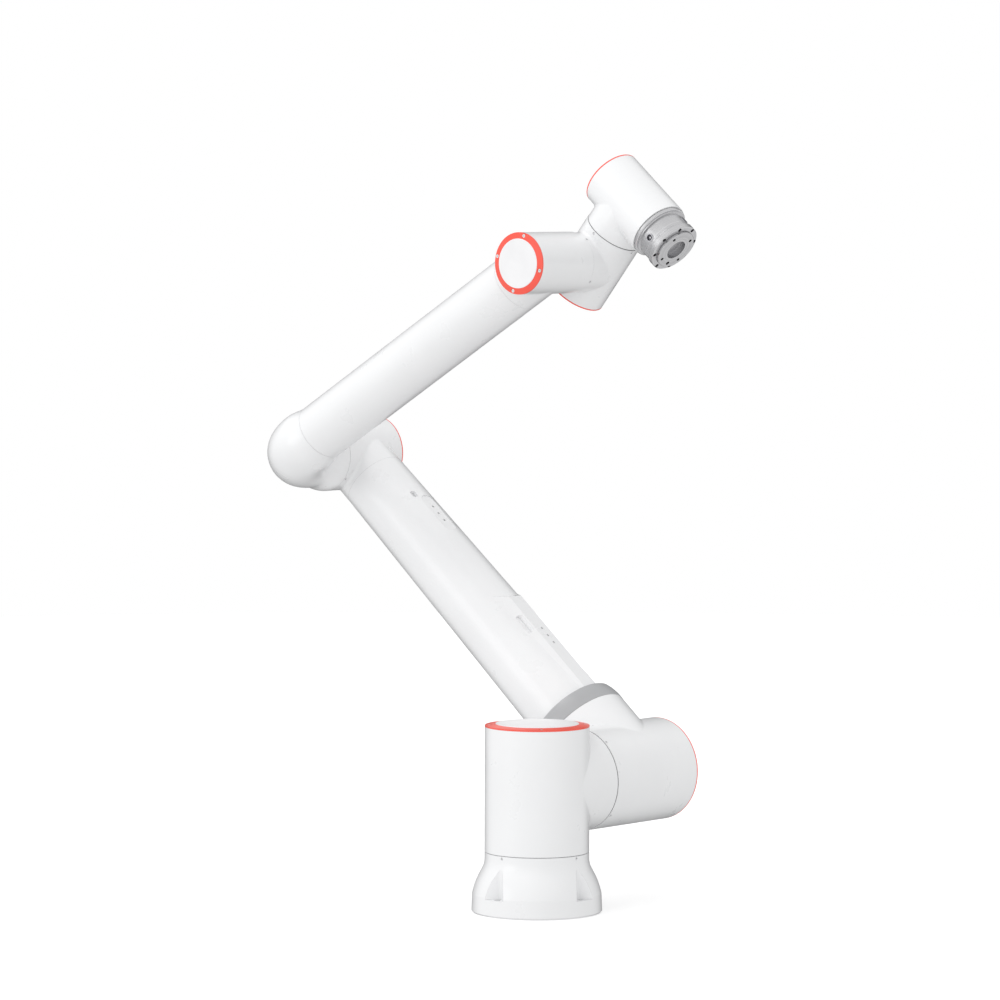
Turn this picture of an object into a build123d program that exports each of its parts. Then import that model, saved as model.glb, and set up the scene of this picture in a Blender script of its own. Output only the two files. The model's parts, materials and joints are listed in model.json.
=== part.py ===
from build123d import *
from dataclasses import dataclass
from math import cos, radians, sin
import os

# Six-axis collaborative robot arm, modelled piece by piece in its resting pose.
# The frame's origin is the centre of the mounting face, +Z is up, and the four mounting
# bolts lie on the diagonals of X and Y. All lengths are in millimetres.

# Driving dimensions ---------------------------------------------------------------

# Links, from joint axis to joint axis
SHOULDER_HEIGHT = 184.0
SHOULDER_OFFSET = 190.0
UPPER_ARM_LENGTH = 700.0
ELBOW_OFFSET = 145.0
FOREARM_LENGTH = 586.0
WRIST_OFFSET = 119.0
WRIST_LENGTH = 114.0
TOOL_LENGTH = 109.0

# Resting pose, in degrees
BASE_TURN = 46.7
UPPER_ARM_TILT = 139.5
FOREARM_TILT = 30.9
WRIST_TILT = 50.8
TOOL_TURN = -92.7

# Joint housings
LARGE_RADIUS = 76.0
ELBOW_RADIUS = 55.5
WRIST_RADIUS = 45.0
PORT_STEP = 1.0

# From each joint's centre to the open end of its housing
J1_SEAM = 96.5
J2_SEAM = 95.2
J3_SEAM = 65.1
J4_SEAM = 62.8
J5_SEAM = 58.3
J6_SEAM = 64.5
WALL = 5.0
SEAM_GAP = 0.6
CAP_RADIUS_RATIO = 0.80
CAP_RING_TOP_RATIO = 0.83
CAP_RING_RIM = 2.0
CAP_RING_HEIGHT = 4.0
CAP_DISC_RISE = 4.6
CAP_LIP = 9.0
PORT_LIP = 8.0
PORT_LIP_RATIO = 0.70
EDGE_CHAMFER = 0.4
CREASE_FILLET = 5.0

# Base casting
BASE_RADIUS = 95.0
BASE_TOP = SHOULDER_HEIGHT - J1_SEAM - SEAM_GAP
BASE_SKIRT_TOP = 27.0
BASE_NECK = 78.0
BASE_BOLT_RADIUS = 85.0
BASE_BOLT_HOLE = 4.5
BASE_POCKET_SIDE = 53.0
BASE_POCKET_FILLET = 6.0
BASE_POCKET_FLOOR = 24.5
BASE_CAVITY_RADIUS = 62.0
BASE_CAVITY_FLOOR = 10.0
BASE_OPENING_RADIUS = 35.0
INLET_HEIGHT = 44.0
INLET_RADIUS = 18.0
INLET_BORE = 13.0
INLET_DEPTH = 81.0

# Tubes
COLLAR_BASE = 91.0
COLLAR_TOP = 120.0
COLLAR_TOP_RADIUS = 71.5
UPPER_TUBE_RADIUS_LOW = 58.8
UPPER_TUBE_RADIUS_HIGH = 50.4
ELBOW_PORT = 64.0
FOREARM_RADIUS = 44.0
FOREARM_SEAM_LOW = 80.0
FOREARM_SEAM_HIGH = 57.0
TUBE_WALL = 4.0
TAPER_WALL = 8.0

# Rows of tapped holes on the upper arm, measured from the shoulder axis
LOW_PAD = 233.0
HIGH_PAD = 510.0
PAD_HOLE_PITCH = 15.0
PAD_HOLE_RADIUS = 2.1
RAIL_RISE = 3.0
RAIL_FOOT = 221.0
RAIL_CROWN = 198.0
SEAT_DEPTH = 1.8

# Elbow shell
BEND_RADIUS = 45.0
BEND_SECTION = 49.0
ELBOW_SEAM = ELBOW_OFFSET - J3_SEAM - SEAM_GAP

# Tool flange, to the 50 mm pattern of robot flanges
FLANGE_START = 65.5
FLANGE_PCD = 50.0
FLANGE_TAP_RADIUS = 2.5
FLANGE_PIN_RADIUS = 3.0
FLANGE_PILOT_RADIUS = 15.75
FLANGE_RING_SCREWS = 8
FLANGE_RING_PCD = 72.0
FLANGE_RING_SINK = 5.0
FLANGE_SCREW_LENGTH = 8.0
FLANGE_TAP_DEPTH = 13.0
FLANGE_PIN_DEPTH = 9.0
FLANGE_PILOT_DEPTH = 10.0
FLANGE_FACE = TOOL_LENGTH
FLANGE_RING_FACE = TOOL_LENGTH - 4.0
FLANGE_SEAT_RADIUS = 31.5
FLANGE_SEAM = 94.0
SOCKET_PLACES = (88.0, -18.0)
SOCKET_ALONG = 84.0
SOCKET_RADIUS = 6.5

# Small screws
SEAM_SCREW_INSET = 3.4
CAP_SCREW_RATIO = 0.91

CLEARANCE = 0.05
LEFT_EDGE = (Align.MIN, Align.CENTER)

# Places and directions --------------------------------------------------------------

UP = Vector(0, 0, 1)
ACROSS = Vector(cos(radians(BASE_TURN)), sin(radians(BASE_TURN)), 0)
AHEAD = Vector(sin(radians(BASE_TURN)), -cos(radians(BASE_TURN)), 0)


def in_arm_plane(tilt):
    return AHEAD * cos(radians(tilt)) + UP * sin(radians(tilt))


UPPER_DIR = in_arm_plane(UPPER_ARM_TILT)
FORE_DIR = in_arm_plane(FOREARM_TILT)
WRIST_DIR = in_arm_plane(WRIST_TILT)
TOOL_DIR = ACROSS.rotate(Axis((0, 0, 0), WRIST_DIR), TOOL_TURN)

SHOULDER = UP * SHOULDER_HEIGHT
UPPER_ROOT = SHOULDER + ACROSS * SHOULDER_OFFSET
ELBOW_UPPER = UPPER_ROOT + UPPER_DIR * UPPER_ARM_LENGTH
ELBOW_FORE = ELBOW_UPPER - ACROSS * ELBOW_OFFSET
WRIST_1 = ELBOW_FORE + FORE_DIR * FOREARM_LENGTH
WRIST_2 = WRIST_1 + ACROSS * WRIST_OFFSET
WRIST_3 = WRIST_2 + WRIST_DIR * WRIST_LENGTH


@dataclass
class Joint:
    """A joint's housing: its axis is local Z towards the cap, its side port local X."""
    name: str
    plane: Plane
    radius: float
    seam: float
    cap: float
    port_length: float
    port_step: float = PORT_STEP

    @property
    def inner(self):
        return self.radius - WALL

    @property
    def port_radius(self):
        return self.radius - self.port_step

    @property
    def lip(self):
        return self.radius * PORT_LIP_RATIO

    @property
    def boss(self):
        return self.radius * 0.5

    @property
    def gear_height(self):
        return self.radius * 0.40

    @property
    def cup_height(self):
        return self.radius * 0.25


J1 = Joint("j1", Plane(SHOULDER, x_dir=ACROSS, z_dir=UP), LARGE_RADIUS, J1_SEAM, 85.5,
           SHOULDER_OFFSET - J2_SEAM - SEAM_GAP)
J2 = Joint("j2", Plane(UPPER_ROOT, x_dir=UPPER_DIR, z_dir=ACROSS), LARGE_RADIUS, J2_SEAM, 89.0,
           COLLAR_BASE)
J3 = Joint("j3", Plane(ELBOW_UPPER, x_dir=-UPPER_DIR, z_dir=ACROSS), ELBOW_RADIUS, J3_SEAM, 54.0,
           ELBOW_PORT, ELBOW_RADIUS - UPPER_TUBE_RADIUS_HIGH)
J4 = Joint("j4", Plane(WRIST_1, x_dir=-FORE_DIR, z_dir=-ACROSS), WRIST_RADIUS, J4_SEAM, 52.3,
           FOREARM_SEAM_HIGH)
J5 = Joint("j5", Plane(WRIST_2, x_dir=-ACROSS, z_dir=-WRIST_DIR), WRIST_RADIUS, J5_SEAM, 53.7,
           WRIST_OFFSET - J4_SEAM - SEAM_GAP)
J6 = Joint("j6", Plane(WRIST_3, x_dir=-WRIST_DIR, z_dir=-TOOL_DIR), WRIST_RADIUS, J6_SEAM, 52.5,
           WRIST_LENGTH - J5_SEAM - SEAM_GAP)

# Shapes used by more than one piece ---------------------------------------------------


def post(radius, low, high):
    """A cylinder on local Z from low to high."""
    return Pos(0, 0, low) * Cylinder(radius, high - low, align=(Align.CENTER, Align.CENTER, Align.MIN))


def ring(outer, inner, low, high):
    return post(outer, low, high) - post(inner, low - 1, high + 1)


def cone(low_radius, high_radius, low, high):
    return Pos(0, 0, low) * Cone(low_radius, high_radius, high - low,
                                 align=(Align.CENTER, Align.CENTER, Align.MIN))


def along_x(shape):
    """Turn a shape on local Z onto local X."""
    return Rot(0, 90, 0) * shape


def turned(outline):
    """Revolve a closed outline of (radius, height) points about local Z."""
    points = [(radius, 0, height) for radius, height in outline]
    return revolve(make_face(Polyline(*points, close=True)), Axis.Z)


def around(shape, radius, count, phase):
    """Copies of a shape on a circle about local Z."""
    step = 360 / count
    places = [Rot(0, 0, phase + step * i) * Pos(radius, 0, 0) for i in range(count)]
    return [place * shape for place in places]


def cut_all(body, cutters):
    for cutter in cutters:
        body = body - cutter
    return body


def end_edges(body, axis, position):
    """Circular edges of an end face at a position along an axis."""
    return body.edges().filter_by(GeomType.CIRCLE).filter_by_position(
        axis, position - 0.01, position + 0.01)


# Pieces of a joint --------------------------------------------------------------------


def housing(joint):
    """Cast shell: a barrel on the joint axis with a port on its side."""
    outer = post(joint.radius, -joint.seam, joint.cap)
    outer += along_x(post(joint.port_radius, 0, joint.port_length))
    creases = [e for e in outer.edges() if e.geom_type not in (GeomType.CIRCLE, GeomType.LINE)]
    outer = outer.fillet(CREASE_FILLET, creases)
    outer = outer.chamfer(EDGE_CHAMFER, None, end_edges(outer, Axis.Z, -joint.seam).sort_by(
        SortBy.RADIUS)[-1:])
    if joint.port_step == PORT_STEP:
        outer = outer.chamfer(EDGE_CHAMFER, None, end_edges(outer, Axis.X, joint.port_length).sort_by(
            SortBy.RADIUS)[-1:])
    hollow = post(joint.inner, -joint.seam - 1, joint.cap - CAP_LIP)
    hollow += post(joint.radius * CAP_RADIUS_RATIO, 0, joint.cap + 1)
    hollow += along_x(post(joint.port_radius - WALL, 0, joint.port_length - PORT_LIP))
    hollow += along_x(post(joint.lip, 0, joint.port_length + 1))
    body = outer - hollow
    tapped = post(1.25, joint.cap - CAP_LIP + 1, joint.cap + 1)
    return cut_all(body, around(tapped, cap_screw_radius(joint), 4, 45))


def cap_screw_radius(joint):
    return joint.radius * CAP_SCREW_RATIO


def cap_ring(joint):
    """Coloured cone-shaped ring round the end cap, with four countersinks."""
    low, high = joint.cap, joint.cap + CAP_RING_HEIGHT
    bore = joint.radius * CAP_RADIUS_RATIO
    body = turned([(bore, low), (joint.radius, low), (joint.radius, low + CAP_RING_RIM),
                   (joint.radius * CAP_RING_TOP_RATIO, high), (bore, high)])
    recess = post(2.9, low + 0.6, high + 1) + post(1.6, low - 1, high)
    return cut_all(body, around(recess, cap_screw_radius(joint), 4, 45))


def cap_disc(joint):
    """Plain cover plate inside the ring, with a spigot in the housing."""
    radius = joint.radius * CAP_RADIUS_RATIO - CLEARANCE
    top = joint.cap + CAP_DISC_RISE
    body = post(radius, joint.cap - 5, top) - post(radius - 4, joint.cap - 6, top - 3)
    return body.chamfer(0.5, None, end_edges(body, Axis.Z, top))


def cap_screws(joint):
    head = post(2.5, joint.cap + 0.6, joint.cap + 2.9) - post(1.2, joint.cap + 1.6, joint.cap + 3)
    screw = head + post(1.25, joint.cap - CAP_LIP + 2, joint.cap + 1)
    return around(screw, cap_screw_radius(joint), 4, 45)


def gear_floor(joint):
    return -joint.seam + 4


def wave_gear(joint):
    """Strain-wave gear unit: a bolted ring with the flexible cup behind it."""
    low = gear_floor(joint)
    high = low + joint.gear_height
    top = high + joint.cup_height
    cup = joint.radius * 0.66
    shaft = joint.radius * 0.16
    body = turned([(joint.boss, low), (joint.inner - 6, low), (joint.inner - 6, low + 3),
                   (joint.inner, low + 3), (joint.inner, high - 4), (cup, high - 4), (cup, top - 2),
                   (cup - 2, top), (shaft, top), (shaft, top - 3), (cup - 5, top - 5),
                   (cup - 5, high - 2), (joint.boss, high - 2)])
    bolt = post(1.6, high - 7, high - 3)
    return cut_all(body, around(bolt, (joint.inner + cup) / 2, 12, 15))


def motor(joint):
    """Hollow-shaft motor with its brake and encoder stacked on the cap side."""
    low = gear_floor(joint) + joint.gear_height + joint.cup_height
    high = joint.cap - 8
    stator = joint.radius * 0.60
    brake = joint.radius * 0.45
    shaft = joint.radius * 0.12
    step = low + (high - low) * 0.62
    return turned([(shaft, low), (stator - 2, low), (stator, low + 2), (stator, step - 2),
                   (stator - 2, step), (brake, step), (brake, high - 5), (brake + 4, high - 5),
                   (brake + 4, high - 3), (brake - 3, high - 3), (brake - 3, high), (shaft, high)])


def output_hub(joint):
    """Hub bolted in the neighbouring link, turning in the gear unit's bearing."""
    face = -joint.seam - SEAM_GAP
    top = gear_floor(joint) + joint.gear_height * 0.7
    boss = joint.boss - CLEARANCE
    shaft = joint.radius * 0.16
    body = turned([(shaft, face - PORT_LIP), (joint.lip, face - PORT_LIP), (joint.lip, face - 0.4),
                   (boss, face - 0.4), (boss, top), (shaft, top)])
    bolt = post(2.2, face - 3, face + 1)
    return cut_all(body, around(bolt, (joint.lip + boss) / 2, 8, 22.5))


def seal(joint):
    """Grey sealing ring in the gap beside the housing's open end."""
    return ring(joint.radius - 1.0, joint.radius - 4.0, -joint.seam - SEAM_GAP + 0.25, -joint.seam)


def seam_screw(radius):
    """One small radial screw, on local X, flush with a wall of this radius."""
    screw = post(1.5, radius - 3.6, radius - 0.4) - post(0.8, radius - 1.6, radius + 1)
    return along_x(screw)


def seam_screw_hole(radius):
    return along_x(post(1.9, radius - 3.6, radius + 1))


def round_axis(shape, height, phase):
    return [Rot(0, 0, phase + 90 * i) * (Pos(0, 0, height) * shape) for i in range(4)]


# Pieces of their own ------------------------------------------------------------------


def bolt_pocket():
    """Square corner cut out of the flare, so that a bolt head stands on the floor."""
    notch = Box(60, 60, BASE_TOP - BASE_POCKET_FLOOR, align=(Align.MIN, Align.MIN, Align.MIN))
    inner = notch.edges().filter_by(Axis.Z).sort_by(lambda e: e.center().X + e.center().Y)[0]
    notch = notch.fillet(BASE_POCKET_FILLET, [inner])
    return Pos(BASE_POCKET_SIDE, BASE_POCKET_SIDE, BASE_POCKET_FLOOR) * notch


def base_casting():
    """Flared foot with four bolt pockets and a cable entry at the back."""
    skirt = Line((BASE_RADIUS, 0, 2), (BASE_RADIUS - 1, 0, BASE_SKIRT_TOP))
    flare = Spline((BASE_RADIUS - 1, 0, BASE_SKIRT_TOP), (LARGE_RADIUS + 7.5, 0, 56),
                   (LARGE_RADIUS, 0, BASE_NECK),
                   tangents=[(-0.22, 0, 1), (0, 0, 1)])
    rest = Polyline((LARGE_RADIUS, 0, BASE_NECK), (LARGE_RADIUS, 0, BASE_TOP - EDGE_CHAMFER),
                    (LARGE_RADIUS - EDGE_CHAMFER, 0, BASE_TOP), (0, 0, BASE_TOP), (0, 0, 0),
                    (BASE_RADIUS - 2, 0, 0), (BASE_RADIUS, 0, 2))
    body = revolve(make_face([skirt, flare, rest]), Axis.Z)
    boss = Pos(0, 0, INLET_HEIGHT) * Rot(-90, 0, 0) * post(25, 50, BASE_RADIUS)
    body += boss
    body -= post(BASE_CAVITY_RADIUS, BASE_CAVITY_FLOOR, BASE_TOP - PORT_LIP)
    body -= post(J1.lip, 20, BASE_TOP + 1)
    body -= post(BASE_OPENING_RADIUS, -1, 20)
    body -= Pos(0, 0, INLET_HEIGHT) * Rot(-90, 0, 0) * post(INLET_RADIUS, 40, BASE_RADIUS + 1)
    body = cut_all(body, [Rot(0, 0, 90 * i) * bolt_pocket() for i in range(4)])
    body = cut_all(body, around(post(BASE_BOLT_HOLE, -1, BASE_POCKET_FLOOR + 1), BASE_BOLT_RADIUS, 4, 45))
    return cut_all(body, round_axis(seam_screw_hole(LARGE_RADIUS), BASE_TOP - SEAM_SCREW_INSET, 45))


def base_connector():
    """Round cable inlet at the back of the foot."""
    outer = post(INLET_RADIUS - CLEARANCE, BASE_RADIUS - 22, BASE_RADIUS)
    outer += post(INLET_RADIUS + 3, BASE_RADIUS, BASE_RADIUS + 3)
    outer += post(16, BASE_RADIUS + 3, BASE_RADIUS + 6)
    body = outer - post(INLET_BORE, INLET_DEPTH, BASE_RADIUS + 7)
    body = cut_all(body, around(post(1.2, INLET_DEPTH - 5, INLET_DEPTH + 1), 7.5, 6, 0))
    return Pos(0, 0, INLET_HEIGHT) * Rot(-90, 0, 0) * body


def shoulder_collar():
    """Tapered grey collar that clamps the upper arm's tube to its port."""
    inner = UPPER_TUBE_RADIUS_LOW + CLEARANCE
    outer = LARGE_RADIUS - 0.6
    side = Spline((outer, 0, COLLAR_BASE + 1), (COLLAR_TOP_RADIUS + 2.6, 0, COLLAR_BASE + 17),
                  (COLLAR_TOP_RADIUS, 0, COLLAR_TOP - 2))
    rest = Polyline((COLLAR_TOP_RADIUS, 0, COLLAR_TOP - 2), (COLLAR_TOP_RADIUS - 2, 0, COLLAR_TOP),
                    (inner, 0, COLLAR_TOP), (inner, 0, COLLAR_BASE), (outer - 1, 0, COLLAR_BASE),
                    (outer, 0, COLLAR_BASE + 1))
    return along_x(revolve(make_face([side, rest]), Axis.Z))


def tube_radius(height):
    """Outer radius of the upper arm's tube at a distance from the shoulder axis."""
    low, high = COLLAR_TOP, UPPER_ARM_LENGTH - ELBOW_PORT
    share = max(0, (height - low) / (high - low))
    return UPPER_TUBE_RADIUS_LOW + (UPPER_TUBE_RADIUS_HIGH - UPPER_TUBE_RADIUS_LOW) * share


def tapped_row(height, level):
    """Three tapped holes in a row along the tube, square to a pad at this level."""
    drill = post(PAD_HOLE_RADIUS, level - 8, level + 5)
    return [Pos(height + PAD_HOLE_PITCH * i, 0, 0) * drill for i in (-1, 0, 1)]


def upper_arm_tube():
    """Tapered tube on local X, with a raised rail and a flat seat for attachments."""
    start, end = COLLAR_BASE, UPPER_ARM_LENGTH - ELBOW_PORT
    outer = post(UPPER_TUBE_RADIUS_LOW, start, COLLAR_TOP)
    outer += cone(UPPER_TUBE_RADIUS_LOW, UPPER_TUBE_RADIUS_HIGH, COLLAR_TOP, end)
    outer = along_x(outer)
    rail_top = tube_radius(LOW_PAD) + RAIL_RISE
    foot = Plane(origin=(COLLAR_TOP, 0, 40)) * Rectangle(RAIL_FOOT, 76, align=LEFT_EDGE)
    crown = Plane(origin=(COLLAR_TOP, 0, rail_top)) * Rectangle(RAIL_CROWN, 27, align=LEFT_EDGE)
    outer += loft([foot, crown])
    seat_level = tube_radius(HIGH_PAD) - SEAT_DEPTH
    seat = extrude(Plane(origin=(HIGH_PAD, 0, seat_level)) * SlotOverall(78, 24), 20)
    relief = extrude(Plane(origin=(HIGH_PAD + 46, 16, seat_level - 6)) * SlotOverall(13, 8), 30)
    slot = extrude(Plane(origin=(LOW_PAD + 32, 21, rail_top - 9)) * SlotOverall(35, 9.5), 30)
    outer = outer - seat - relief - slot
    inner = post(UPPER_TUBE_RADIUS_LOW - TAPER_WALL, start - 1, COLLAR_TOP)
    inner += cone(UPPER_TUBE_RADIUS_LOW - TAPER_WALL, UPPER_TUBE_RADIUS_HIGH - TAPER_WALL,
                  COLLAR_TOP - 1, end + 1)
    body = outer - along_x(inner)
    body = cut_all(body, tapped_row(LOW_PAD, rail_top))
    return cut_all(body, tapped_row(HIGH_PAD, seat_level))


def blend_profile(radius_low, low, radius_high, high):
    """Half outline on local Z that eases from one radius to another."""
    side = Spline((radius_low, 0, low), (radius_high, 0, high), tangents=[(0, 0, 1), (0, 0, 1)])
    rest = Polyline((radius_high, 0, high), (0, 0, high), (0, 0, low), (radius_low, 0, low))
    return revolve(make_face([side, rest]), Axis.Z)


def elbow_form(inset, seam_end, tube_end):
    """Solid bend from the elbow axis, local Z, to the forearm's axis, local X."""
    section = BEND_SECTION - inset
    disc = Plane(origin=(0, 0, BEND_RADIUS)) * Circle(section)
    reach = BEND_RADIUS - 0.5
    keep = Plane(origin=(reach - 100, 0, BEND_RADIUS)) * Rectangle(200, 200)
    quarter = revolve(disc & keep, Axis((BEND_RADIUS, 0, BEND_RADIUS), (0, 1, 0)), -90)
    barrel = blend_profile(section, BEND_RADIUS, ELBOW_RADIUS - inset, seam_end)
    stub = along_x(blend_profile(section, BEND_RADIUS, FOREARM_RADIUS - inset, tube_end))
    return quarter + barrel + stub


def elbow_shell():
    """Curved hollow casting that turns the forearm off the elbow's axis."""
    outer = elbow_form(0, ELBOW_SEAM, FOREARM_SEAM_LOW)
    inner = elbow_form(WALL, ELBOW_SEAM - PORT_LIP, FOREARM_SEAM_LOW - PORT_LIP)
    body = outer - inner - post(J3.lip, 30, ELBOW_SEAM + 1)
    return body - along_x(post(FOREARM_RADIUS * PORT_LIP_RATIO, 30, FOREARM_SEAM_LOW + 1))


def forearm_tube():
    end = FOREARM_LENGTH - FOREARM_SEAM_HIGH
    body = ring(FOREARM_RADIUS, FOREARM_RADIUS - TUBE_WALL, FOREARM_SEAM_LOW, end)
    rims = end_edges(body, Axis.Z, FOREARM_SEAM_LOW).sort_by(SortBy.RADIUS)[-1:]
    rims += end_edges(body, Axis.Z, end).sort_by(SortBy.RADIUS)[-1:]
    return along_x(body.chamfer(0.5, None, rims))


def ring_screw_hole():
    """Counterbore and shank hole of one ring screw, in the flange's own heights."""
    seat = FLANGE_RING_FACE - FLANGE_RING_SINK
    return post(3.0, seat, FLANGE_RING_FACE + 1) + post(1.65, seat - FLANGE_SCREW_LENGTH - 0.5, seat)


def on_ring(shape):
    return around(shape, FLANGE_RING_PCD / 2, FLANGE_RING_SCREWS, 22.5)


def tool_flange():
    """Metal output flange: a stepped neck on a hub in the last gear unit."""
    body = turned([(8, FLANGE_START), (43.5, FLANGE_START), (43.5, 69), (42.5, 70), (41, 70), (41, 72.5),
                   (38.0, 73.5), (38.0, FLANGE_SEAM), (8, FLANGE_SEAM)])
    body = cut_all(body, on_ring(ring_screw_hole()))
    for place in SOCKET_PLACES:
        body -= Rot(0, 0, place) * (Pos(0, 0, SOCKET_ALONG) * along_x(post(SOCKET_RADIUS, 24, 45)))
    hub = J6.boss - CLEARANCE
    top = -(gear_floor(J6) + J6.gear_height * 0.7)
    return body + ring(hub, 8, top, FLANGE_START + 1)


def tool_plate():
    """Tool plate on the flange's neck: a raised seat with tapped holes, a pin hole and a pilot."""
    groove = FLANGE_RING_FACE - 1.2
    pilot_floor = FLANGE_FACE - FLANGE_PILOT_DEPTH
    body = turned([(0, FLANGE_SEAM), (38.0, FLANGE_SEAM), (39.5, FLANGE_SEAM + 1.5),
                   (39.5, FLANGE_RING_FACE - 1), (38.5, FLANGE_RING_FACE),
                   (FLANGE_SEAT_RADIUS + 0.5, FLANGE_RING_FACE), (FLANGE_SEAT_RADIUS + 0.5, groove),
                   (FLANGE_SEAT_RADIUS, groove), (FLANGE_SEAT_RADIUS, FLANGE_FACE - 0.6),
                   (FLANGE_SEAT_RADIUS - 0.6, FLANGE_FACE), (FLANGE_PILOT_RADIUS, FLANGE_FACE),
                   (FLANGE_PILOT_RADIUS, pilot_floor), (0, pilot_floor)])
    body = cut_all(body, on_ring(ring_screw_hole()))
    tapped = post(FLANGE_TAP_RADIUS, FLANGE_FACE - FLANGE_TAP_DEPTH, FLANGE_FACE + 1)
    body = cut_all(body, around(tapped, FLANGE_PCD / 2, 4, 45))
    pin = post(FLANGE_PIN_RADIUS, FLANGE_FACE - FLANGE_PIN_DEPTH, FLANGE_FACE + 1)
    return body - Pos(-FLANGE_PCD / 2, 0, 0) * pin


def flange_screws():
    seat = FLANGE_RING_FACE - FLANGE_RING_SINK
    head = post(2.8, seat, seat + 2.6) - post(1.5, seat + 1.2, seat + 3)
    return on_ring(head + post(1.65, seat - FLANGE_SCREW_LENGTH, seat + 0.6))


def tool_connectors():
    """Two round sockets let into the flange's neck."""
    socket = post(SOCKET_RADIUS - CLEARANCE, 25, 38.6) - post(4.6, 31, 40)
    socket = socket + post(1.6, 30, 37)
    return [Rot(0, 0, place) * (Pos(0, 0, SOCKET_ALONG) * along_x(socket)) for place in SOCKET_PLACES]


# Assembly -----------------------------------------------------------------------------

WORLD = Plane.XY
UPPER_PLANE = Plane(UPPER_ROOT, x_dir=UPPER_DIR, z_dir=ACROSS.cross(UPPER_DIR))
ELBOW_PLANE = Plane(ELBOW_FORE, x_dir=FORE_DIR, z_dir=ACROSS)
FLANGE_PLANE = Plane(WRIST_3, x_dir=WRIST_DIR, z_dir=TOOL_DIR)


def joint_nodes(joint, with_seal=True):
    pieces = {
        "_cap_ring": cap_ring(joint),
        "_cap_disc": cap_disc(joint),
        "_cap_screws": cap_screws(joint),
        "_motor": motor(joint),
        "_wave_gear": wave_gear(joint),
    }
    if with_seal:
        pieces["_seal"] = seal(joint)
    return {joint.name + tail: (joint.plane, piece) for tail, piece in pieces.items()}


def screws_in_housing(joint, body):
    return cut_all(body, round_axis(seam_screw_hole(joint.radius), -joint.seam + SEAM_SCREW_INSET, 0))


def screws_of_housing(joint):
    return [joint.plane.location * screw
            for screw in round_axis(seam_screw(joint.radius), -joint.seam + SEAM_SCREW_INSET, 0)]


def port_screw_places(shape):
    """Copies round the end of the wrist housing's port, square to the port."""
    return [Rot(90 * i, 0, 0) * (Pos(J5.port_length - SEAM_SCREW_INSET, 0, 0) * shape) for i in range(4)]


def all_nodes():
    base_screws = round_axis(seam_screw(LARGE_RADIUS), BASE_TOP - SEAM_SCREW_INSET, 45)
    nodes = {"base_casting": (WORLD, base_casting())}
    nodes["base_connector"] = (WORLD, base_connector())
    nodes["base_seam_screws"] = (WORLD, base_screws)
    nodes["shoulder_housing"] = (J1.plane, housing(J1))
    nodes["upper_arm_root_housing"] = (J2.plane, screws_in_housing(J2, housing(J2)))
    nodes["elbow_housing"] = (J3.plane, screws_in_housing(J3, housing(J3)))
    nodes["wrist_1_housing"] = (J4.plane, housing(J4))
    upright_hole = Rot(0, -90, 0) * seam_screw_hole(J5.port_radius)
    wrist_2 = cut_all(screws_in_housing(J5, housing(J5)), port_screw_places(upright_hole))
    nodes["wrist_2_housing"] = (J5.plane, wrist_2)
    nodes["wrist_3_housing"] = (J6.plane, housing(J6))
    for joint in (J1, J2, J3, J4, J5, J6):
        nodes.update(joint_nodes(joint, with_seal=joint is not J6))
    for joint in (J1, J2, J3, J4, J5):
        nodes[joint.name + "_output_hub"] = (joint.plane, output_hub(joint))
    nodes["upper_arm_seam_screws"] = (WORLD, screws_of_housing(J2) + screws_of_housing(J3))
    upright_screw = Rot(0, -90, 0) * seam_screw(J5.port_radius)
    port_screws = [J5.plane.location * screw for screw in port_screw_places(upright_screw)]
    nodes["wrist_2_seam_screws"] = (WORLD, screws_of_housing(J5) + port_screws)
    nodes["shoulder_collar"] = (UPPER_PLANE, shoulder_collar())
    nodes["upper_arm_tube"] = (UPPER_PLANE, upper_arm_tube())
    nodes["elbow_shell"] = (ELBOW_PLANE, elbow_shell())
    nodes["forearm_tube"] = (ELBOW_PLANE, forearm_tube())
    nodes["tool_flange"] = (FLANGE_PLANE, tool_flange())
    nodes["tool_plate"] = (FLANGE_PLANE, tool_plate())
    nodes["flange_screws"] = (FLANGE_PLANE, flange_screws())
    nodes["tool_connectors"] = (FLANGE_PLANE, tool_connectors())
    return nodes


def main():
    os.makedirs("parts", exist_ok=True)
    for name, (plane, piece) in all_nodes().items():
        shape = Compound(piece) if isinstance(piece, list) else piece
        export_step(plane.location * shape, "parts/" + name + ".step")


main()
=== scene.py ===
import json
from math import cos, radians, sin

import bpy
from mathutils import Matrix, Vector


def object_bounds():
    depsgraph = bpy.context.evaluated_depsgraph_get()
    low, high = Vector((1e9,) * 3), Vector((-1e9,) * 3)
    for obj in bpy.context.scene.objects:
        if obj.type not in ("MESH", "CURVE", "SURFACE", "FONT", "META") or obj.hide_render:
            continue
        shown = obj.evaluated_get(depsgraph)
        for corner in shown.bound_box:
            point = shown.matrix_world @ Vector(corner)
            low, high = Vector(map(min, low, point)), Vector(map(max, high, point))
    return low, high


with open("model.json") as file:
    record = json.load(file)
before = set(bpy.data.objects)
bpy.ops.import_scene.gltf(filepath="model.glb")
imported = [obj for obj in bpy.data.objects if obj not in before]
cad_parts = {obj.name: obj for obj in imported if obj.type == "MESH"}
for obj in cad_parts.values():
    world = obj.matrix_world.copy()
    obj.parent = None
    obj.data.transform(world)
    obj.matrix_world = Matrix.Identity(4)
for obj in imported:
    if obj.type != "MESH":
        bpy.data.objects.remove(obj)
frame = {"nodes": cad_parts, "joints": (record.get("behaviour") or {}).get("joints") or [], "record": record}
cad_low, cad_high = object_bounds()

NODES = frame["nodes"]
SLOT_OF = {part["node"]: part["material_slot"] for part in frame["record"]["subparts"]}
JOINTS = {joint["name"]: joint for joint in frame["joints"]}

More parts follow.
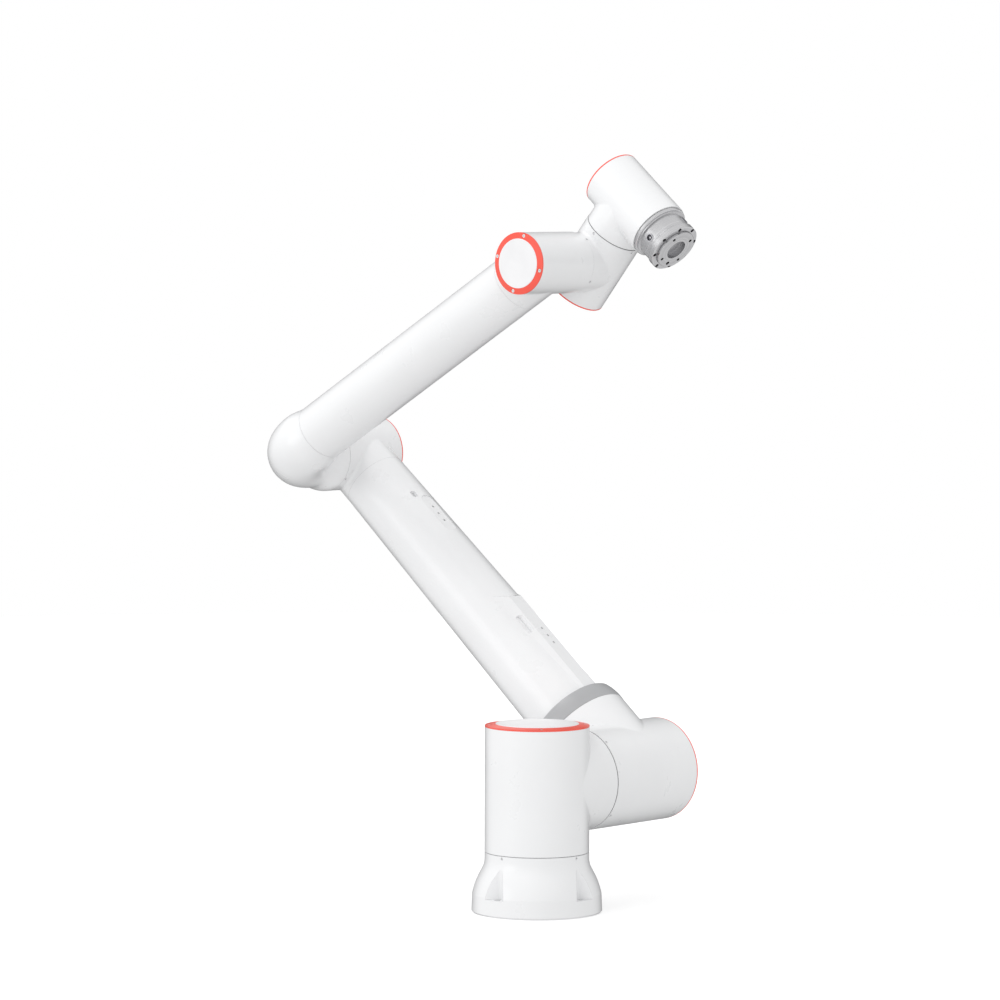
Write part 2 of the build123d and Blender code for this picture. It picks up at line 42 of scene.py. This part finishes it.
# Camera: place in metres, roll in degrees, lens and sensor in millimetres
CAMERA_PLACE = Vector((-0.4316, -7.1891, 1.0611))
CAMERA_AIM = Vector((0.05223, 0.99657, -0.06416))
CAMERA_ROLL = -0.13
CAMERA_LENS = 179.76
CAMERA_SENSOR = 36.0
CAMERA_FAR_CLIP = 200.0

# Studio walls: a direction, two reaches along it, and the strength at each. Soft light grows
# towards the front, left and top. Gloss sees a dark flag behind the arm, which draws its outline.
SOFT_WALLS = (Vector((-0.34, -0.80, 0.50)), -1.0, 1.0, 0.54, 1.18)
GLOSS_WALLS = (Vector((0.05, 1.0, -0.06)), 0.50, 0.88, 1.05, 0.10)

# Soft lights aimed at the arm's middle: place and size in metres, power in watts
LIGHTS = {
    "left": ((-5.0, -2.2, 1.4), (2.4, 3.0), 26.0),
    "top": ((-2.0, 0.4, 3.6), (1.6, 1.6), 24.0),
}

FLOOR_RADIUS = 5.0
FLOOR_SEGMENTS = 128
FLOOR_GAP = 0.0005
FLOOR_GLOW = 0.26

# Depth of each surface's fine relief, in metres
PAINT_WAVES = 0.00010
ORANGE_PEEL = 0.00002
PLASTIC_GRAIN = 0.00003
STEEL_GRAIN = 0.00004
TURNED_BANDS = 0.00008
TURNED_GROOVES = 0.00005
RUBBER_GRAIN = 0.00005

# Width of the strip along edges and seams that takes its own colour, in metres: rubbed edges, and on the
# white paint also painted shade in the seams
PAINT_WEAR_AND_SEAM_SHADE = 0.0012
METAL_WEAR = 0.0006

WHITE = (1.0, 1.0, 1.0, 1.0)

# How strongly each finer layer of noise counts against the one before
NOISE_ROUGHNESS = 0.55

# Places of the colour sockets on Blender's mix node
MIX_FIRST, MIX_SECOND, MIX_RESULT = 6, 7, 2


# Small tools for building node materials ------------------------------------------------


class Nodes:
    """One material's node tree, with short calls for the nodes used here."""

    def __init__(self, name):
        self.material = bpy.data.materials.new(name)
        self.material.use_nodes = True
        self.tree = self.material.node_tree
        self.shader = self.tree.nodes["Principled BSDF"]
        self.place = self.tree.nodes.new("ShaderNodeTexCoord").outputs["Object"]

    def node(self, kind, **settings):
        made = self.tree.nodes.new(kind)
        for key, value in settings.items():
            setattr(made, key, value)
        return made

    def link(self, source, target):
        self.tree.links.new(source, target)

    def feed(self, socket, value):
        """Links a socket to another, or sets it to a value."""
        if isinstance(value, bpy.types.NodeSocket):
            self.link(value, socket)
        else:
            socket.default_value = value

    def math(self, operation, first, second):
        made = self.node("ShaderNodeMath", operation=operation)
        self.feed(made.inputs[0], first)
        self.feed(made.inputs[1], second)
        return made.outputs[0]

    def vector(self, operation, first, second, out="Vector"):
        made = self.node("ShaderNodeVectorMath", operation=operation)
        self.feed(made.inputs[0], first)
        self.feed(made.inputs[1], second)
        return made.outputs[out]

    def noise(self, scale, detail, at=None):
        """Noise from 0 to 1, whose largest patches come scale times in a metre."""
        made = self.node("ShaderNodeTexNoise")
        made.inputs["Scale"].default_value = scale
        made.inputs["Detail"].default_value = detail
        made.inputs["Roughness"].default_value = NOISE_ROUGHNESS
        self.link(at or self.place, made.inputs["Vector"])
        return made.outputs["Fac"]

    def spread(self, value, low, high, start=0.3, end=0.7):
        """Maps start..end, the middle of a noise's range unless given, onto low..high."""
        made = self.node("ShaderNodeMapRange")
        for index, item in enumerate((value, start, end, low, high)):
            self.feed(made.inputs[index], item)
        return made.outputs[0]

    def mix(self, amount, first, second):
        made = self.node("ShaderNodeMix", data_type="RGBA")
        self.feed(made.inputs[0], amount)
        self.feed(made.inputs[MIX_FIRST], first)
        self.feed(made.inputs[MIX_SECOND], second)
        return made.outputs[MIX_RESULT]

    def mottle(self, pattern, light, dark):
        """Colour that wanders from light to dark with a noise pattern."""
        return self.mix(self.spread(pattern, low=0.0, high=1.0), light, dark)

    def bump(self, *layers):
        """Chains bumps, each (height, depth in metres), into the shader's normal."""
        normal = None
        for height, depth in layers:
            made = self.node("ShaderNodeBump")
            made.inputs["Distance"].default_value = depth
            self.link(height, made.inputs["Height"])
            if normal:
                self.link(normal, made.inputs["Normal"])
            normal = made.outputs["Normal"]
        self.link(normal, self.shader.inputs["Normal"])

    def edges(self, width):
        """1 along edges, seams and creases and 0 on open faces, from the surface's own shape. On the white
        paint this strip carries painted shade in the seams.
        """
        soft = self.node("ShaderNodeBevel", samples=4)
        soft.inputs["Radius"].default_value = width
        true = self.node("ShaderNodeNewGeometry").outputs["Normal"]
        straight = self.vector("DOT_PRODUCT", soft.outputs[0], true, out="Value")
        return self.spread(straight, low=1.0, high=0.0, start=0.86, end=0.995)

    def set(self, **values):
        """Sets values that are the same all over the surface."""
        names = {"metal": "Metallic", "coat": "Coat Weight", "coat_rough": "Coat Roughness",
                 "gloss": "Specular IOR Level"}
        for key, value in values.items():
            self.shader.inputs[names[key]].default_value = value

    def colour(self, value):
        self.feed(self.shader.inputs["Base Color"], value)

    def roughness(self, value):
        self.feed(self.shader.inputs["Roughness"], value)


# Finishes: light and dark are the two ends of a surface's colour, rough those of its roughness


def painted(name, light, dark, edge_and_seam_colour, rough=(0.26, 0.36), coat=0.35):
    """Sprayed paint on a casting: faint mottling, orange peel, rubbed edges, and on the white shell painted
    shade along seams and creases.
    """
    m = Nodes(name)
    m.set(coat=coat, coat_rough=0.14)
    tone = m.mottle(m.noise(scale=5.0, detail=4.0), light, dark)
    patchy = m.spread(m.noise(scale=160.0, detail=4.0), low=0.35, high=1.0)
    # Edges, seams and creases take their own colour in patches: rubbed paint on edges, and on the white
    # shell, whose colour there is dark, painted shade in its seams and creases.
    wear_and_seam_shade = m.math("MULTIPLY", m.edges(PAINT_WEAR_AND_SEAM_SHADE), patchy)
    m.colour(m.mix(wear_and_seam_shade, tone, edge_and_seam_colour))
    base = m.spread(m.noise(scale=22.0, detail=5.0), *rough)
    m.roughness(m.math("ADD", base, m.math("MULTIPLY", wear_and_seam_shade, 0.12)))
    m.bump((m.noise(scale=45.0, detail=2.0), PAINT_WAVES),
           (m.noise(scale=620.0, detail=2.0), ORANGE_PEEL))
    return m.material


def moulded(name, light, dark, rough):
    """Moulded plastic with a fine, even grain."""
    m = Nodes(name)
    m.set(coat=0.2, coat_rough=0.2)
    m.colour(m.mottle(m.noise(scale=30.0, detail=4.0), light, dark))
    m.roughness(m.spread(m.noise(scale=90.0, detail=4.0), *rough))
    m.bump((m.noise(scale=1500.0, detail=2.0), PLASTIC_GRAIN))
    return m.material


def steel(name, light, dark, rough):
    """Plated or ground steel with small stains and grinding marks."""
    m = Nodes(name)
    m.set(metal=1.0)
    m.colour(m.mottle(m.noise(scale=90.0, detail=5.0), light, dark))
    m.roughness(m.spread(m.noise(scale=400.0, detail=4.0), *rough))
    m.bump((m.noise(scale=1200.0, detail=3.0), STEEL_GRAIN))
    return m.material


def turned_metal(name, light, dark, edge_and_seam_colour, rough, joint):
    """Lathe-turned alloy: fine grooves that run round a joint's axis."""
    m = Nodes(name)
    m.set(metal=1.0)
    axis = Vector(joint["axis"])
    offset = m.vector("SUBTRACT", m.place, Vector(joint["pos_m"]))
    reach = m.vector("CROSS_PRODUCT", offset, axis)
    radius = m.vector("LENGTH", reach, Vector(), out="Value")
    along = m.vector("DOT_PRODUCT", offset, axis, out="Value")
    rings = m.node("ShaderNodeCombineXYZ")
    m.link(radius, rings.inputs[0])
    m.link(along, rings.inputs[1])
    grooves = m.noise(scale=2600.0, detail=2.0, at=rings.outputs[0])
    bands = m.noise(scale=420.0, detail=3.0, at=rings.outputs[0])
    tone = m.mottle(bands, light, dark)
    m.colour(m.mix(m.math("MULTIPLY", m.edges(METAL_WEAR), 0.5), tone, edge_and_seam_colour))
    smudges = m.spread(m.noise(scale=60.0, detail=5.0), low=0.0, high=0.08)
    m.roughness(m.math("ADD", m.spread(grooves, *rough), smudges))
    m.bump((bands, TURNED_BANDS), (grooves, TURNED_GROOVES))
    return m.material


def rubber(name, light, dark, rough):
    """Dull rubber with a fine grain."""
    m = Nodes(name)
    m.colour(m.mix(m.noise(scale=200.0, detail=3.0), dark, light))
    m.roughness(m.spread(m.noise(scale=500.0, detail=3.0), *rough))
    m.bump((m.noise(scale=1200.0, detail=2.0), RUBBER_GRAIN))
    return m.material


MATERIALS = {
    # The white shell's dark colour for edges and seams is rubbed paint on its edges and painted shade along
    # its seams and creases.
    "shell_paint": painted("shell_paint", (0.845, 0.850, 0.858, 1), (0.800, 0.804, 0.812, 1),
                           edge_and_seam_colour=(0.56, 0.56, 0.57, 1)),
    "cap_ring_coral": moulded("cap_ring_coral", (0.90, 0.085, 0.050, 1), (0.84, 0.070, 0.040, 1),
                              rough=(0.30, 0.42)),
    "cap_plate": moulded("cap_plate", (0.83, 0.83, 0.84, 1), (0.79, 0.79, 0.80, 1),
                         rough=(0.30, 0.40)),
    "collar_grey": painted("collar_grey", (0.41, 0.415, 0.425, 1), (0.36, 0.365, 0.375, 1),
                           edge_and_seam_colour=(0.55, 0.55, 0.56, 1), rough=(0.34, 0.46), coat=0.15),
    "screw_steel": steel("screw_steel", (0.80, 0.80, 0.81, 1), (0.66, 0.66, 0.67, 1),
                         rough=(0.30, 0.45)),
    "motor_steel": steel("motor_steel", (0.36, 0.37, 0.39, 1), (0.26, 0.27, 0.29, 1),
                         rough=(0.38, 0.55)),
    "gear_steel": steel("gear_steel", (0.58, 0.58, 0.60, 1), (0.46, 0.46, 0.48, 1),
                        rough=(0.22, 0.38)),
    "connector_shell": steel("connector_shell", (0.50, 0.50, 0.52, 1), (0.38, 0.38, 0.40, 1),
                             rough=(0.28, 0.45)),
    "flange_alloy": turned_metal("flange_alloy", (0.60, 0.60, 0.61, 1), (0.44, 0.44, 0.45, 1),
                                 edge_and_seam_colour=(0.86, 0.86, 0.87, 1), rough=(0.22, 0.36),
                                 joint=JOINTS["j6_flange_turn"]),
    "seal_rubber": rubber("seal_rubber", (0.10, 0.10, 0.105, 1), (0.060, 0.060, 0.065, 1),
                          rough=(0.55, 0.75)),
}

# The ring screws at the tool end are darker than the rest: their near-black colour is painted shade,
# standing in for the shade of their counterbores.
SCREWS_PAINTED_SHADE = steel("screws_painted_shade", (0.10, 0.10, 0.11, 1), (0.05, 0.05, 0.055, 1),
                    rough=(0.35, 0.50))

for name, node in NODES.items():
    finish = SCREWS_PAINTED_SHADE if name == "flange_screws" else MATERIALS[SLOT_OF[name]]
    node.data.materials.clear()
    node.data.materials.append(finish)


# Floor, light and camera -------------------------------------------------------------------


def floor():
    """A wide pale disc just under the foot, which gloss and bounced light don't see."""
    points = []
    for i in range(FLOOR_SEGMENTS):
        turn = radians(360.0 * i / FLOOR_SEGMENTS)
        points.append((FLOOR_RADIUS * cos(turn), FLOOR_RADIUS * sin(turn), 0.0))
    mesh = bpy.data.meshes.new("floor")
    mesh.from_pydata(points, [], [list(range(FLOOR_SEGMENTS))])
    disc = bpy.data.objects.new("floor", mesh)
    disc.visible_glossy = False
    disc.visible_diffuse = False
    disc.location.z = cad_low.z - FLOOR_GAP
    bpy.context.scene.collection.objects.link(disc)
    m = Nodes("studio_floor")
    pale = m.noise(scale=2.0, detail=3.0)
    m.colour(m.mix(pale, (0.90, 0.90, 0.90, 1), (0.93, 0.93, 0.93, 1)))
    m.roughness(m.spread(m.noise(scale=8.0, detail=3.0), low=0.7, high=0.85))
    m.set(gloss=0.2)
    m.shader.inputs["Emission Color"].default_value = WHITE
    m.shader.inputs["Emission Strength"].default_value = FLOOR_GLOW
    mesh.materials.append(m.material)


def surroundings():
    """Studio walls for soft light and for gloss, while the camera sees plain white."""
    world = bpy.data.worlds.new("studio")
    bpy.context.scene.world = world
    world.use_nodes = True
    tree = world.node_tree
    tree.nodes.clear()
    place = tree.nodes.new("ShaderNodeTexCoord").outputs["Generated"]

    def glow(strength):
        made = tree.nodes.new("ShaderNodeBackground")
        made.inputs["Color"].default_value = WHITE
        if isinstance(strength, bpy.types.NodeSocket):
            tree.links.new(strength, made.inputs["Strength"])
        else:
            made.inputs["Strength"].default_value = strength
        return made.outputs[0]

    def walls(towards, *reach_and_strength):
        lean = tree.nodes.new("ShaderNodeVectorMath")
        lean.operation = "DOT_PRODUCT"
        tree.links.new(place, lean.inputs[0])
        lean.inputs[1].default_value = towards
        strength = tree.nodes.new("ShaderNodeMapRange")
        tree.links.new(lean.outputs["Value"], strength.inputs[0])
        for index, value in enumerate(reach_and_strength, start=1):
            strength.inputs[index].default_value = value
        return glow(strength.outputs[0])

    def choose(test, otherwise, chosen):
        both = tree.nodes.new("ShaderNodeMixShader")
        tree.links.new(test, both.inputs[0])
        tree.links.new(otherwise, both.inputs[1])
        tree.links.new(chosen, both.inputs[2])
        return both.outputs[0]

    ray = tree.nodes.new("ShaderNodeLightPath").outputs
    lit = choose(ray["Is Glossy Ray"], walls(*SOFT_WALLS), walls(*GLOSS_WALLS))
    seen = choose(ray["Is Camera Ray"], lit, glow(1.0))
    out = tree.nodes.new("ShaderNodeOutputWorld")
    tree.links.new(seen, out.inputs["Surface"])


def soft_light(name, place, target, size, watts):
    """A rectangular light turned to face the target."""
    data = bpy.data.lights.new(name, "AREA")
    data.shape = "RECTANGLE"
    data.size, data.size_y = size
    data.energy = watts
    light = bpy.data.objects.new(name, data)
    light.location = place
    light.rotation_euler = (Vector(target) - Vector(place)).to_track_quat("-Z", "Y").to_euler()
    bpy.context.scene.collection.objects.link(light)


def camera():
    """A long lens from the front, which keeps the arm's outline nearly free of perspective."""
    data = bpy.data.cameras.new("camera")
    data.lens = CAMERA_LENS
    data.sensor_width = CAMERA_SENSOR
    data.clip_end = CAMERA_FAR_CLIP
    made = bpy.data.objects.new("camera", data)
    upright = CAMERA_AIM.to_track_quat("-Z", "Y").to_matrix().to_4x4()
    roll = Matrix.Rotation(radians(CAMERA_ROLL), 4, CAMERA_AIM.normalized())
    made.matrix_world = Matrix.Translation(CAMERA_PLACE) @ roll @ upright
    bpy.context.scene.collection.objects.link(made)
    bpy.context.scene.camera = made


floor()
surroundings()
for name, (place, size, watts) in LIGHTS.items():
    soft_light(name, place, (cad_low + cad_high) / 2, size, watts)
camera()
bpy.context.scene.view_settings.view_transform = "Standard"
